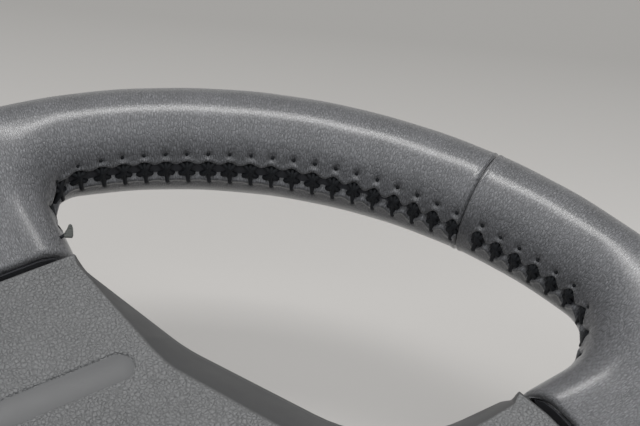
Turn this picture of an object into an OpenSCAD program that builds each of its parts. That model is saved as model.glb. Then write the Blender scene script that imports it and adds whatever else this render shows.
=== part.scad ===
// Car steering wheel: leather rim on a cast armature, with a floating horn and air bag module.
// The origin lies on the steering axis, in the plane of the rear face. +Z points to the driver
// and +Y to the top of the wheel.

/* [Rim] */
// Outside diameter of the rim
rim_od = 380; // [365:1:400]
// Diameter of the grip's round section
grip_d = 32; // [29:0.5:35]
// Height of the rim's middle plane above the rear face
rim_z = 66; // [62:1:76]
// Thickness of the leather
leather_t = 1.3; // [0.8:0.1:2]
// Diameter of the cast ring inside the rim
core_d = 12; // [9:0.5:16]
// Wheel angle of the lower leather seam, from +X
seam_low = 212; // [206:1:240]
// Wheel angle of the upper leather seam, from +X
seam_high = 146; // [120:1:152]
// Width of the gap between two leather panels
seam_gap = 0.3; // [0.1:0.1:1]
// Diameter of the lacing cord
lace_d = 1.2; // [0.8:0.1:1.8]
// Height of the lacing above the rim's middle plane
lace_rise = 1.8; // [0:0.1:4]

/* [Spokes] */
// Distance of the side spokes' lower edge below the axis
side_low = 31; // [26:0.5:36]
// Distance of the side spokes' upper edge above the axis
side_high = 20; // [14:0.5:26]
// Width of the bottom spoke at its groove
bottom_w = 61; // [54:0.5:70]
// Fillet between the bottom spoke and the rim
bottom_fillet = 8; // [7:0.5:12]
// Fillet between a side spoke and the rim, on its lower side
side_fillet = 14; // [11:0.5:18]
// Slope of the leather from the rim down to the groove, in degrees
root_slope = 16; // [10:0.5:20]
// Slope of the spoke's rear side, in degrees
rear_slope = 6; // [3:0.5:9]

/* [Cover] */
// Distance of the bottom groove from the axis
groove_y = 127; // [122:0.5:130]
// Radius of the side grooves
groove_r = 125; // [120:0.5:130]
// Width of the groove between cover and leather
groove_gap = 3; // [2:0.1:4]
// Height of the cover's face above the rim's middle plane
cover_rise = 7; // [4:0.5:10]
// Radius of the cover's rounded edge
cover_edge = 12; // [8:0.5:14]
// Crown of the cover's face
cover_crown = 1.5; // [0:0.1:3]
// Wall of the cover
cover_wall = 3; // [2.4:0.1:3.6]
// Height of the cover's upper arch above the axis
arch_top = 48; // [44:0.5:56]
// Length of the bare recess in the cover's face
recess_w = 55; // [40:1:60]
// Height of the bare recess
recess_h = 9.3; // [6:0.1:12]
// Depth of the bare recess
recess_t = 0.5; // [0.2:0.1:1]
// Distance of the bare recess below the axis
recess_y = 81; // [72:0.5:90]

/* [Air bag module] */
// Width of the module's can
can_w = 112; // [96:1:118]
// Length of the module's can
can_l = 72; // [70:1:76]
// Depth of the module's can
can_h = 23; // [19:0.5:26]
// Sheet thickness of the can
can_t = 1.5; // [1:0.1:2]
// Diameter of the gas generator
generator_d = 52; // [44:1:53]
// Height of the gas generator
generator_h = 25; // [22:0.5:27]
// Travel of the module when the horn is pressed
horn_travel = 2; // [1:0.1:2.5]
// Wire diameter of the horn springs
spring_wire = 1.2; // [0.8:0.1:1.5]
// Outside diameter of the horn springs
spring_d = 12; // [10:0.5:14]
// Shank diameter of the guide bolts
guide_d = 6; // [5:0.5:7]

/* [Armature] */
// Width of a side arm
arm_w = 22; // [16:0.5:28]
// Width of each of the two bottom arms
twin_w = 13; // [10:0.5:16]
// Distance between the middles of the bottom arms
twin_pitch = 37; // [34:0.5:40]
// Depth of an arm
arm_h = 11; // [9:0.5:12]
// Wall of the cast arms
arm_wall = 3.5; // [2.5:0.1:4]
// Diameter of the cast hub
hub_d = 48; // [44:0.5:56]
// Diameter of the steel insert
insert_d = 30; // [28:0.5:34]
// Diameter of the plain bore for the column's shaft
bore_d = 17; // [14:0.1:19]
// Length of the plain bore
bore_l = 12; // [8:0.5:14]
// Number of serrations above the plain bore
serrations = 36; // [24:1:48]

/* [Rear cover] */
// Diameter of the rear cover's neck
neck_d = 104; // [100:1:112]
// Height of the rear cover's neck
neck_h = 12; // [8:0.5:14]
// Wall of the rear cover
rear_wall = 2.5; // [2:0.1:3]
// Diameter of the rear cover's screws
screw_d = 4; // [3:0.5:5]

/* [Fits] */
// Clearance between pieces that seat on each other
seat_gap = 0.2; // [0.15:0.05:0.3]
// Clearance between the module and what it moves past
move_gap = 0.35; // [0.3:0.05:0.5]

/* [Hidden] */
eps = 0.01;
fine = 96;

// Rim
grip_r = grip_d / 2;
rim_r = rim_od / 2 - grip_r;
rim_in = rim_r - grip_r;
core_r = core_d / 2;
foam_r = grip_r - leather_t - seat_gap;
half_seam = seam_gap / 2 / rim_r * 180 / PI;
lace_r = lace_d / 2;
lace_ring_r = grip_r + lace_r + 0.05;
lace_angle = asin(lace_rise / lace_ring_r);

// Spokes, seen from the driver's side
side_mid = (side_high - side_low) / 2;
bottom_half = bottom_w / 2;
upper_fillet = side_fillet + 1;
root_start = 108;
root_end = rim_r - grip_r * sin(root_slope);
root_tail = rim_r + grip_r * sin(rear_slope);
// How far a root's faces bite into the rim where they run out
bite = 0.8;
root_top_end = grip_r * cos(root_slope);

// Cover and its parting lines
pad_y = groove_y - groove_gap / 2;
pad_r = groove_r - groove_gap / 2;
leather_y = groove_y + groove_gap / 2;
leather_r = groove_r + groove_gap / 2;
cover_top = rim_z + cover_rise;
cover_skirt = cover_top - cover_edge - 1;
parting_gap = horn_travel + move_gap;
rear_top = cover_skirt - parting_gap;
cover_roof = cover_top + cover_crown - cover_wall - 1;
corner_r = 5;

// Module
can_y = -8;
can_top = cover_roof - 2;
can_floor = can_top - can_h;
can_r = 10;
ear_t = 2;
ear_r = 9;
ear_z = rim_z - 17;
bush_wall = 1.2;
bush_flange_t = 1;
bush_d = guide_d + 2 * (bush_wall + move_gap);
generator_top = can_floor + 13;
stud_r = 2;
nut_r = 4;
stud_pitch = generator_d / 2 + nut_r + 0.4;
generator_flange_r = stud_pitch + stud_r + 1.1;
stud_angles = [45:90:315];
flange_t = 2;
retainer_t = 1.6;
// Height of the retainer ring above the can's floor
retainer_lift = 3.2;

// Armature
hub_z = 2;
hub_top = generator_top - generator_h - horn_travel - 1.5;
plate_z = 14;
plate_r = 38;
plate_t = 8;
arm_knee = 118;
insert_flange_d = insert_d + 8;
insert_flange_t = 3;
guide_x = can_w / 2 + 11;
guide_y = can_l / 2 - can_y + 17;
guide_head_h = 3;
guide_head_z = ear_z + ear_t + bush_flange_t + move_gap;
guide_head_r = guide_d / 2 + 3;
boss_r = 8;
// The horn contact stands midway between the can and the rear cover's upper wall
arch_wall_y = arch_top - 6;
contact_y = (can_y + can_l / 2 + arch_wall_y) / 2;
contact_ear = 3.5;
contact_gap = horn_travel + move_gap;
contact_stem_r = 1.5;
post_w = 10;
carrier_w = 12;
carrier_l = 8;
carrier_z = plate_z + plate_t;
carrier_top = ear_z - contact_gap - 2.5;
rear_screw_r = 94;
rear_screw_y = 98;
screw_head_h = 2.6;
screw_boss_d = screw_d + 8;

// Where the arm's middle line runs, as [distance from axis, height]
arm_line = [
    [24, plate_z + 6], [60, plate_z + 12], [arm_knee, rim_z - 15], [rim_r, rim_z]
];
function arm_mid(r) = lookup(r, arm_line);
function arm_depth(r) = r < arm_knee - 10 ? arm_h : min(arm_h, arm_tip_h);
function arm_top(r) = arm_mid(r) + arm_depth(r) / 2;
function arm_bottom(r) = arm_mid(r) - arm_depth(r) / 2;
boss_top = arm_top(guide_x) + 3;
guide_points = [[-guide_x, side_mid], [guide_x, side_mid], [0, -guide_y]];
rear_screw_points = [[-rear_screw_r, side_mid], [rear_screw_r, side_mid], [0, -rear_screw_y]];
function screw_seat(p) = arm_bottom(norm(p)) - screw_head_h;
arm_notch = 0.6;
// Depth of an arm where it runs into the ring
arm_tip_h = 8.6;

// Corner list of the hub's outline, counter-clockwise, as [x, y, radius].
// reach moves its three spoke ends out from the groove's hub side.
function hub_corners(reach) =
    let (
        r_end = pad_r + reach,
        y_end = pad_y + reach,
        low_a = asin(side_low / r_end),
        high_a = asin(side_high / r_end),
        mid_a = (high_a - low_a) / 2,
        mid_r = r_end * (1 + 1 / cos((high_a + low_a) / 2)) / 2,
        right = [
            [bottom_half, -y_end, corner_r],
            [bottom_half + 15, -0.69 * y_end, 60],
            [80, -side_low, 42],
            [r_end * cos(low_a), -side_low, corner_r],
            [mid_r * cos(mid_a), mid_r * sin(mid_a), r_end * 0.6],
            [r_end * cos(high_a), side_high, corner_r],
            [92, side_high + 4, 50],
            [60, arch_top - 6, 60]
        ]
    )
    concat(right, [[0, arch_top, 120]], [for (k = [7:-1:0]) [-right[k][0], right[k][1], right[k][2]]]);

arc_steps = 5;
least_r = 1.5;

// Outline with every corner rounded, moved inwards by inset. It has the same number of
// points for every inset.
function round_path(corners, inset) =
    let (n = len(corners))
    [for (i = [0:n - 1])
        let (
            q = corners[i],
            p = corners[(i + n - 1) % n],
            s = corners[(i + 1) % n],
            du = [q[0] - p[0], q[1] - p[1]],
            dv = [s[0] - q[0], s[1] - q[1]],
            u = du / norm(du),
            v = dv / norm(dv),
            nu = [-u[1], u[0]],
            nv = [-v[1], v[0]],
            turn = atan2(u[0] * v[1] - u[1] * v[0], u * v),
            way = turn >= 0 ? 1 : -1,
            at = [q[0], q[1]] + inset * (nu + nv) / (1 + nu * nv),
            r = way > 0 ? max(q[2] - inset, least_r) : q[2] + inset,
            t = r * tan(abs(turn) / 2),
            c = at - u * t + nu * way * r
        )
        for (k = [0:arc_steps])
            let (a = turn * k / arc_steps)
            c - way * r * [nu[0] * cos(a) - nu[1] * sin(a), nu[0] * sin(a) + nu[1] * cos(a)]
    ];

// Solid through a list of closed rings with equal numbers of points, closed at both ends
module loft(rings) {
    n = len(rings[0]);
    m = len(rings);
    polyhedron(
        points = [for (ring = rings) for (p = ring) p],
        faces = concat(
            [[for (i = [0:n - 1]) i]],
            [for (k = [0:m - 2]) for (i = [0:n - 1])
                let (j = (i + 1) % n)
                each [
                    [k * n + i, (k + 1) * n + j, k * n + j],
                    [k * n + i, (k + 1) * n + i, (k + 1) * n + j]
                ]],
            [[for (i = [n - 1:-1:0]) (m - 1) * n + i]]
        ),
        convexity = 8
    );
}

function at_height(path, z) = [for (p = path) [p[0], p[1], z]];

// Rim section swept between two wheel angles
module rim_arc(r, a0, a1) {
    translate([0, 0, rim_z])
        rotate([0, 0, a0])
            rotate_extrude(angle = a1 - a0, $fn = fine)
                translate([rim_r, 0])
                    circle(r = r, $fn = 48);
}

// Half-width of a spoke at distance u from the axis, with its fillet to the rim
function fillet_u(half, fillet) = sqrt(pow(rim_in + bite - fillet, 2) - pow(half + fillet, 2));
function fillet_angle(half, fillet) = atan2(half + fillet, fillet_u(half, fillet));
function edge_at(u, half, fillet) =
    let (
        uf = fillet_u(half, fillet),
        ut = (rim_in + bite) * cos(fillet_angle(half, fillet)),
        rise = fillet - sqrt(max(0, pow(fillet, 2) - pow(min(u, ut) - uf, 2)))
    )
    u <= uf ? half : half + rise - max(0, u - ut) * 0.8;

// Heights of the spoke root's front and rear, from the rim's middle plane
function root_front(u) =
    (u < root_end
        ? root_top_end - (root_end - u) * tan(root_slope)
        : sqrt(pow(grip_r, 2) - pow(u - rim_r, 2))) - bite / 2;
function root_rear(u) = grip_r / cos(rear_slope) + (rim_r - u) * tan(rear_slope) - bite / 2;

root_edge_steps = 8;

// Closed section of a spoke root at distance u, made smaller by shrink on every side
function root_section(u, low, low_fillet, high, high_fillet, shrink) =
    let (
        front = root_front(u) - shrink,
        rear = root_rear(u) - shrink,
        h = (front + rear) / 2,
        mid = (front - rear) / 2,
        w_high = edge_at(u, high, high_fillet) - shrink,
        w_low = edge_at(u, low, low_fillet) - shrink
    )
    concat(
        [for (k = [0:root_edge_steps])
            let (b = -90 + 180 * k / root_edge_steps)
            [u, w_high - h + h * cos(b), rim_z + mid + h * sin(b)]],
        [for (k = [0:root_edge_steps])
            let (b = 90 + 180 * k / root_edge_steps)
            [u, -w_low + h + h * cos(b), rim_z + mid + h * sin(b)]]
    );

// Root of a spoke, along +X before it is turned to its wheel angle
module root_body(turn, low, low_fillet, high, high_fillet, shrink, start) {
    u_flare = min(fillet_u(low, low_fillet), fillet_u(high, high_fillet));
    u_steps = 7;
    stations = concat(
        [start],
        [for (k = [0:u_steps]) u_flare + (rim_in - u_flare) * k / u_steps],
        [root_end, rim_r, root_tail]
    );
    rotate([0, 0, turn])
        loft([for (u = stations)
            root_section(u, low, low_fillet, high, high_fillet, shrink)]);
}

module bottom_root(shrink, start) {
    root_body(270, bottom_half, bottom_fillet, bottom_half, bottom_fillet, shrink, start);
}

module left_root(shrink, start) {
    root_body(180, side_high, upper_fillet, side_low, side_fillet, shrink, start);
}

// Everything on the hub's side of the grooves, which is cut from leather and foam
module hub_side(extra) {
    cylinder(h = 2 * rim_z, r = leather_r + extra, $fn = fine);
    translate([-rim_r / 2, -leather_y - extra, 0])
        cube([rim_r, leather_y, 2 * rim_z]);
}

// Cord along the joint of the leather's edges on the rim's inner side
module lacing(a0, a1) {
    translate([0, 0, rim_z])
        rotate([0, 0, a0])
            rotate_extrude(angle = a1 - a0, $fn = fine)
                translate([rim_r - lace_ring_r * cos(lace_angle), lace_ring_r * sin(lace_angle)])
                    circle(r = lace_r, $fn = 24);
}

// Wheel angles where the plain rim begins beside each spoke
low_left_start = 180 + fillet_angle(side_low, side_fillet) + 1;
low_left_end = 270 - fillet_angle(bottom_half, bottom_fillet) - 1;
upper_left_end = 180 - fillet_angle(side_high, upper_fillet) - 1;
lace_end = 0.2;

module arm_slot(half_w, extra) {
    rotate([90, 0, 0])
        translate([0, 0, -half_w - extra])
            linear_extrude(height = 2 * (half_w + extra))
                arm_profile(extra);
}

// Side view of an arm along +X
module arm_profile(extra) {
    knots = [22, 60, arm_knee - 12, arm_knee, rim_r];
    polygon(concat(
        [for (r = knots) [r, arm_bottom(r) - extra]],
        [for (k = [4:-1:0]) [knots[k], arm_top(knots[k]) + extra]]
    ));
}

// The three kinds of arm in their places, made larger by extra
module arms(extra) {
    for (s = [0, 180])
        translate([0, side_mid, 0])
            rotate([0, 0, s])
                arm_slot(arm_w / 2, extra);
    for (x = [-1, 1])
        translate([x * twin_pitch / 2, 0, 0])
            rotate([0, 0, 270])
                arm_slot(twin_w / 2, extra);
}

// Channel in the rear of an arm, with its cross ribs left standing
module arm_channel(half_w, from, to) {
    rib_t = 2.5;
    bays = 4;
    bay = (to - from) / bays;
    for (k = [0:bays - 1])
        let (
            r0 = from + k * bay + rib_t / 2,
            r1 = from + (k + 1) * bay - rib_t / 2
        )
        rotate([90, 0, 0])
            translate([0, 0, -half_w + arm_wall])
                linear_extrude(height = 2 * (half_w - arm_wall))
                    polygon([
                        [r0, arm_bottom(r0) - 8], [r1, arm_bottom(r1) - 8],
                        [r1, arm_top(r1) - arm_wall], [r0, arm_top(r0) - arm_wall]
                    ]);
}

module armature() {
    color("silver")
    difference() {
        union() {
            translate([0, 0, rim_z])
                rotate_extrude($fn = fine)
                    translate([rim_r, 0])
                        circle(r = core_r, $fn = 32);
            arms(0);
            translate([0, 0, hub_z])
                cylinder(h = hub_top - hub_z, d = hub_d, $fn = fine);
            translate([0, 0, plate_z])
                cylinder(h = plate_t, r = plate_r, $fn = fine);
            // Spring bosses, the lower one on a bridge between the twin arms
            for (p = guide_points)
                translate([p[0], p[1], arm_mid(norm(p)) - 2])
                    cylinder(h = boss_top - arm_mid(norm(p)) + 2, r = boss_r, $fn = 48);
            translate([-twin_pitch / 2, -guide_y - boss_r, arm_bottom(guide_y + boss_r)])
                cube([twin_pitch, 2 * boss_r, 6]);
            // Bridge for the lower screw of the rear cover
            translate([-twin_pitch / 2, -rear_screw_y - 6, arm_bottom(rear_screw_y) + 0.5])
                cube([twin_pitch, 11, 5]);
            // Post for the horn contact
            translate([-post_w / 2, 0, plate_z])
                cube([post_w, contact_y + post_w / 2, plate_t]);
        }
        translate([0, 0, hub_z - eps])
            cylinder(h = hub_top, d = insert_d + 2 * seat_gap, $fn = fine);
        translate([0, 0, hub_top - insert_flange_t])
            cylinder(h = insert_flange_t + eps, d = insert_flange_d + 2 * seat_gap, $fn = fine);
        for (s = [0, 180])
            translate([0, side_mid, 0])
                rotate([0, 0, s])
                    arm_channel(arm_w / 2, 44, guide_x - 4);
        for (s = [0, 180])
            translate([0, side_mid, 0])
                rotate([0, 0, s])
                    arm_channel(arm_w / 2, rear_screw_r + 6, rim_in - 4);
        for (p = guide_points)
            translate([p[0], p[1], 0])
                cylinder(h = rim_z, d = guide_d - 1 + 2 * seat_gap, $fn = 32);
        for (p = rear_screw_points)
            translate([p[0], p[1], 0])
                cylinder(h = rim_z, d = screw_d + 2 * seat_gap, $fn = 32);
    }
}

module hub_insert() {
    tooth_r = bore_d / 2 - 0.3;
    tooth_h = 0.7;
    color("dimgray")
    difference() {
        union() {
            translate([0, 0, hub_z])
                cylinder(h = hub_top - hub_z, d = insert_d, $fn = fine);
            translate([0, 0, hub_top - insert_flange_t + eps])
                cylinder(h = insert_flange_t - eps, d = insert_flange_d, $fn = fine);
        }
        translate([0, 0, hub_z - eps])
            cylinder(h = bore_l + 2 * eps, d = bore_d, $fn = fine);
        translate([0, 0, hub_z + bore_l])
            linear_extrude(height = hub_top)
                polygon([for (k = [0:2 * serrations - 1])
                    let (a = 180 * k / serrations, r = tooth_r - (k % 2) * tooth_h)
                    [r * cos(a), r * sin(a)]]);
    }
}

module rim_foam() {
    foam_shrink = leather_t + seat_gap;
    color("darkslategray")
    difference() {
        union() {
            rim_arc(foam_r, 0, 360);
            bottom_root(foam_shrink, root_start);
            left_root(foam_shrink, root_start);
            mirror([1, 0, 0])
                left_root(foam_shrink, root_start);
        }
        hub_side(0);
        translate([0, 0, rim_z])
            rotate_extrude($fn = fine)
                translate([rim_r, 0])
                    circle(r = core_r + seat_gap, $fn = 32);
        arms(seat_gap);
    }
}

// Skin of the plain rim between two wheel angles
module leather_arc(a0, a1) {
    difference() {
        rim_arc(grip_r, a0, a1);
        rim_arc(grip_r - leather_t, a0 - 1, a1 + 1);
    }
}

module leather_top() {
    color("dimgray")
        leather_arc(180 - seam_high + half_seam, seam_high - half_seam);
}

module leather_left_skin() {
    difference() {
        union() {
            rim_arc(grip_r, seam_high + half_seam, seam_low - half_seam);
            left_root(0, root_start);
        }
        union() {
            rim_arc(grip_r - leather_t, seam_high - 1, seam_low + 1);
            left_root(leather_t, root_start - 2);
        }
        hub_side(0);
    }
}

module leather_left() {
    color("dimgray")
        leather_left_skin();
}

module leather_right() {
    color("dimgray")
        mirror([1, 0, 0])
            leather_left_skin();
}

module leather_bottom() {
    seam_right = 540 - seam_low;
    color("dimgray")
    difference() {
        union() {
            rim_arc(grip_r, seam_low + half_seam, seam_right - half_seam);
            bottom_root(0, root_start);
        }
        union() {
            rim_arc(grip_r - leather_t, seam_low - 1, seam_right + 1);
            bottom_root(leather_t, root_start - 2);
        }
        hub_side(0);
    }
}

module lacing_upper() {
    color("black")
        lacing(180 - upper_left_end + lace_end, upper_left_end - lace_end);
}

module lacing_lower_left() {
    color("black")
        lacing(low_left_start + lace_end, low_left_end - lace_end);
}

module lacing_lower_right() {
    color("black")
        mirror([1, 0, 0])
            lacing(low_left_start + lace_end, low_left_end - lace_end);
}

// Ring of the rear cover between the hub's outline and its round neck
function rear_ring(inset, blend, z) =
    let (path = round_path(hub_corners(groove_gap - move_gap), inset))
    [for (p = path)
        let (
            a = atan2(p[1], p[0]),
            r = neck_d / 2 - inset,
            q = [r * cos(a), r * sin(a)],
            m = p * (1 - blend) + q * blend
        )
        [m[0], m[1], z]];

// Outer form of the rear cover, or its hollow when grow is the wall
module rear_form(grow, foot, crest) {
    shoulder = rim_z - 22;
    middle = (neck_h + shoulder) / 2;
    loft([
        rear_ring(grow, 1, foot),
        rear_ring(grow, 1, neck_h + grow),
        rear_ring(grow + 0.4, 0.45, middle + grow),
        rear_ring(grow + 2, 0, shoulder + grow),
        rear_ring(grow, 0, shoulder + 4 + grow),
        rear_ring(grow, 0, crest)
    ]);
}

module rear_cover() {
    color("dimgray")
    difference() {
        rear_form(0, -1, rear_top + 1);
        slab(-2, 2);
        slab(rear_top, 2);
        difference() {
            rear_form(rear_wall, -3, rear_top + 3);
            for (p = rear_screw_points)
                translate([p[0], p[1], 0])
                    cylinder(h = arm_bottom(norm(p)) - seat_gap, d = screw_boss_d, $fn = 48);
        }
        // Notches that the arms drop into, and the ways for the screws
        arms(arm_notch);
        for (p = rear_screw_points)
            translate([p[0], p[1], 0])
                cylinder(h = rim_z, d = screw_d + 2 * seat_gap, $fn = 32);
        for (p = rear_screw_points)
            translate([p[0], p[1], 0])
                cylinder(h = screw_seat(p), d = 2 * screw_d + 2 * seat_gap, $fn = 32);
    }
}

module rear_cover_screws() {
    color("silver")
    for (p = rear_screw_points)
        translate([p[0], p[1], screw_seat(p) - seat_gap])
            difference() {
                union() {
                    translate([0, 0, -screw_head_h])
                        cylinder(h = screw_head_h, d = 2 * screw_d - 0.4, $fn = 32);
                    cylinder(h = 12, d = screw_d, $fn = 32);
                }
                translate([0, 0, -screw_head_h - eps])
                    cylinder(h = 1.5, d = screw_d * 0.8, $fn = 6);
            }
}

module guide_bolts() {
    color("silver")
    for (p = guide_points)
        translate([p[0], p[1], 0])
            difference() {
                union() {
                    translate([0, 0, boss_top - 9])
                        cylinder(h = 9, d = guide_d - 1, $fn = 32);
                    translate([0, 0, boss_top])
                        cylinder(h = guide_head_z - boss_top, d = guide_d, $fn = 48);
                    translate([0, 0, guide_head_z - eps])
                        cylinder(h = guide_head_h, r = guide_head_r, $fn = 48);
                }
                translate([0, 0, guide_head_z + guide_head_h - 2])
                    cylinder(h = 3, d = guide_d * 0.8, $fn = 6);
            }
}

// Flanged plastic bushes that line the can's ears
module guide_bushes() {
    color("white")
    for (p = guide_points)
        translate([p[0], p[1], 0])
            difference() {
                union() {
                    translate([0, 0, ear_z])
                        cylinder(h = ear_t + bush_flange_t, d = bush_d, $fn = 48);
                    translate([0, 0, ear_z + ear_t])
                        cylinder(h = bush_flange_t, r = ear_r - 1.5, $fn = 48);
                }
                translate([0, 0, ear_z - 2])
                    cylinder(h = ear_t + 4, d = guide_d + 2 * move_gap, $fn = 48);
            }
}

// Helical spring with closed ends left plain
module coil_spring(outer_d, wire, turns, height) {
    sides = 6;
    per_turn = 12;
    r = (outer_d - wire) / 2;
    rise = height - wire;
    n = turns * per_turn;
    loft([for (k = [0:n])
        let (
            a = 360 * k / per_turn,
            z = wire / 2 + rise * k / n
        )
        [for (j = [0:sides - 1])
            let (b = 360 * j / sides)
            [
                (r + wire / 2 * cos(b)) * cos(a),
                (r + wire / 2 * cos(b)) * sin(a),
                z + wire / 2 * sin(b)
            ]
        ]
    ]);
}

module horn_springs() {
    spring_z = boss_top + seat_gap;
    color("lightgray")
    for (p = guide_points)
        translate([p[0], p[1], spring_z])
            coil_spring(spring_d, spring_wire, 3, ear_z - seat_gap - spring_z);
}

// Insulated block on the armature that holds the fixed horn contact
module contact_carrier() {
    color("black")
        translate([-carrier_w / 2, contact_y - carrier_l / 2, carrier_z])
            difference() {
                cube([carrier_w, carrier_l, carrier_top - carrier_z]);
                translate([carrier_w / 2, carrier_l / 2, carrier_top - carrier_z - 4])
                    cylinder(h = 5, r = contact_stem_r + seat_gap, $fn = 32);
            }
}

module fixed_contact() {
    color("goldenrod")
        translate([0, contact_y, carrier_top]) {
            cylinder(h = 1, r = 4, $fn = 32);
            translate([0, 0, -3.5])
                cylinder(h = 3.5 + eps, r = contact_stem_r, $fn = 32);
        }
}

module moving_contact() {
    color("goldenrod")
        translate([0, contact_y, ear_z]) {
            translate([0, 0, -1.5])
                cylinder(h = 1.5, r = 3, $fn = 32);
            cylinder(h = ear_t + 0.8, r = contact_stem_r, $fn = 32);
        }
}

module rounded_box(w, l, h, r) {
    linear_extrude(height = h)
        polygon(round_path([
            [w / 2, -l / 2, r], [w / 2, l / 2, r], [-w / 2, l / 2, r], [-w / 2, -l / 2, r]
        ], 0));
}

// Flat plate of an outline, whose upper side is at z
module plate(path, z) {
    translate([0, 0, z - 1])
        linear_extrude(height = 1)
            polygon(path);
}

// Block that trims what a loft has between z and z + h
module slab(z, h) {
    translate([-rim_r, -rim_r, z])
        cube([2 * rim_r, 2 * rim_r, h]);
}

tab_w = 26;
tab_t = 2.4;
window_h = 4;
tear_t = 1.5;
tear_inset = 6;
window_z = can_top - 9;
// Snap tabs as [x, y, turn], against the can's long and short walls
tab_places = [
    [-can_w / 4, can_y + can_l / 2, 0], [can_w / 4, can_y + can_l / 2, 0],
    [-can_w / 4, can_y - can_l / 2, 180], [can_w / 4, can_y - can_l / 2, 180],
    [can_w / 2, can_y, 270], [-can_w / 2, can_y, 90]
];

module airbag_cover() {
    steps = 5;
    edge = [for (k = [0:steps]) let (a = 90 * k / steps)
        [cover_edge * (1 - cos(a)), cover_edge * (sin(a) - 1)]];
    corners = hub_corners(0);
    inner_edge = cover_edge - 2;
    face_z = cover_top + cover_crown;
    // How far the lofts stop under their flat plates
    under = 0.05;
    color("dimgray")
    difference() {
        union() {
            difference() {
                loft(concat(
                    [at_height(round_path(corners, 0), cover_skirt - 1)],
                    [for (e = edge) at_height(round_path(corners, e[0]), cover_top + e[1])],
                    [at_height(round_path(corners, cover_edge + 3), face_z - under)]
                ));
                loft([
                    at_height(round_path(corners, cover_wall), cover_skirt - 2),
                    at_height(round_path(corners, cover_wall), cover_top - inner_edge),
                    at_height(round_path(corners, cover_wall + inner_edge * 0.35),
                        cover_roof - inner_edge * 0.35),
                    at_height(round_path(corners, cover_wall + inner_edge), cover_roof - under)
                ]);
                plate(round_path(corners, cover_wall + inner_edge - 2 * under), cover_roof);
                slab(cover_skirt - 3, 3);
            }
            plate(round_path(corners, cover_edge + 3 - 2 * under), face_z);
            for (t = tab_places)
                translate([t[0], t[1], 0])
                    rotate([0, 0, t[2]])
                        translate([-tab_w / 2, seat_gap, window_z - 4])
                            cube([tab_w, tab_t, cover_roof + 0.5 - window_z + 4]);
        }
        for (t = tab_places)
            translate([t[0], t[1], 0])
                rotate([0, 0, t[2]])
                    translate([-tab_w / 2 + 5, -eps, window_z])
                        cube([tab_w - 10, tab_t + 1, window_h]);
        // Tear lines in the back of the face
        translate([-can_w / 2 + tear_inset, can_y - tear_t / 2, cover_roof - 1])
            cube([can_w - 2 * tear_inset, tear_t, 2.2]);
        for (x = [-1, 1])
            translate([x * (can_w / 2 - tear_inset) - tear_t / 2, can_y - can_l / 2 + tear_inset,
                cover_roof - 1])
                cube([tear_t, can_l - 2 * tear_inset, 2.2]);
        // Bare recess in the face
        translate([0, -recess_y, face_z - recess_t])
            rounded_box(recess_w, recess_h, 5, recess_h / 2 - 0.1);
    }
}

module airbag_can() {
    color("slategray")
    difference() {
        union() {
            translate([0, can_y, can_floor])
                difference() {
                    rounded_box(can_w, can_l, can_h, can_r);
                    translate([0, 0, can_t])
                        rounded_box(can_w - 2 * can_t, can_l - 2 * can_t, can_h, can_r - can_t);
                }
            // Ears that ride on the guide bolts, each on its strip to the wall
            for (p = guide_points)
                translate([p[0], p[1], ear_z])
                    cylinder(h = ear_t, r = ear_r, $fn = 48);
            for (s = [-1, 1])
                translate([s > 0 ? can_w / 2 - can_t : -guide_x, side_mid - ear_r, ear_z])
                    cube([guide_x - can_w / 2 + can_t, 2 * ear_r, ear_t]);
            translate([-ear_r, -guide_y, ear_z])
                cube([2 * ear_r, guide_y + can_y - can_l / 2 + can_t, ear_t]);
            translate([-post_w / 2, can_y + can_l / 2 - can_t, ear_z])
                cube([post_w, contact_y + contact_ear - can_y - can_l / 2 + can_t, ear_t]);
            // Hooks in the cover's windows
            for (t = tab_places)
                translate([t[0], t[1], 0])
                    rotate([0, 0, t[2]])
                        translate([-tab_w / 2 + 6, -can_t, window_z + 0.5])
                            cube([tab_w - 12, can_t + tab_t - 0.4, window_h - 1]);
        }
        for (p = guide_points)
            translate([p[0], p[1], ear_z - 1])
                cylinder(h = ear_t + 2, d = bush_d + 2 * seat_gap, $fn = 48);
        translate([0, contact_y, ear_z - 1])
            cylinder(h = ear_t + 2, r = contact_stem_r + seat_gap, $fn = 32);
        translate([0, can_y, can_floor - 1])
            cylinder(h = can_t + 2, d = generator_d + 1, $fn = fine);
        for (a = stud_angles)
            translate([stud_pitch * cos(a), can_y + stud_pitch * sin(a), can_floor - 1])
                cylinder(h = can_t + 2, r = stud_r + seat_gap, $fn = 32);
    }
}

// Ring that clamps the cushion's mouth, with its four studs
module cushion_retainer() {
    ring_z = can_floor + can_t + seat_gap + retainer_lift;
    color("silver")
    difference() {
        union() {
            // Round, with flats where the can is narrower
            translate([0, can_y, ring_z])
                intersection() {
                    cylinder(h = retainer_t, r = generator_flange_r, $fn = fine);
                    rounded_box(can_w - 2 * (can_t + seat_gap), can_l - 2 * (can_t + seat_gap),
                        retainer_t, can_r - can_t);
                }
            for (a = stud_angles)
                translate([stud_pitch * cos(a), can_y + stud_pitch * sin(a), can_floor - 8])
                    cylinder(h = ring_z - can_floor + 8 + 0.5, r = stud_r, $fn = 32);
        }
        translate([0, can_y, ring_z - 1])
            cylinder(h = 4, d = generator_d + 1, $fn = fine);
    }
}

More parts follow.
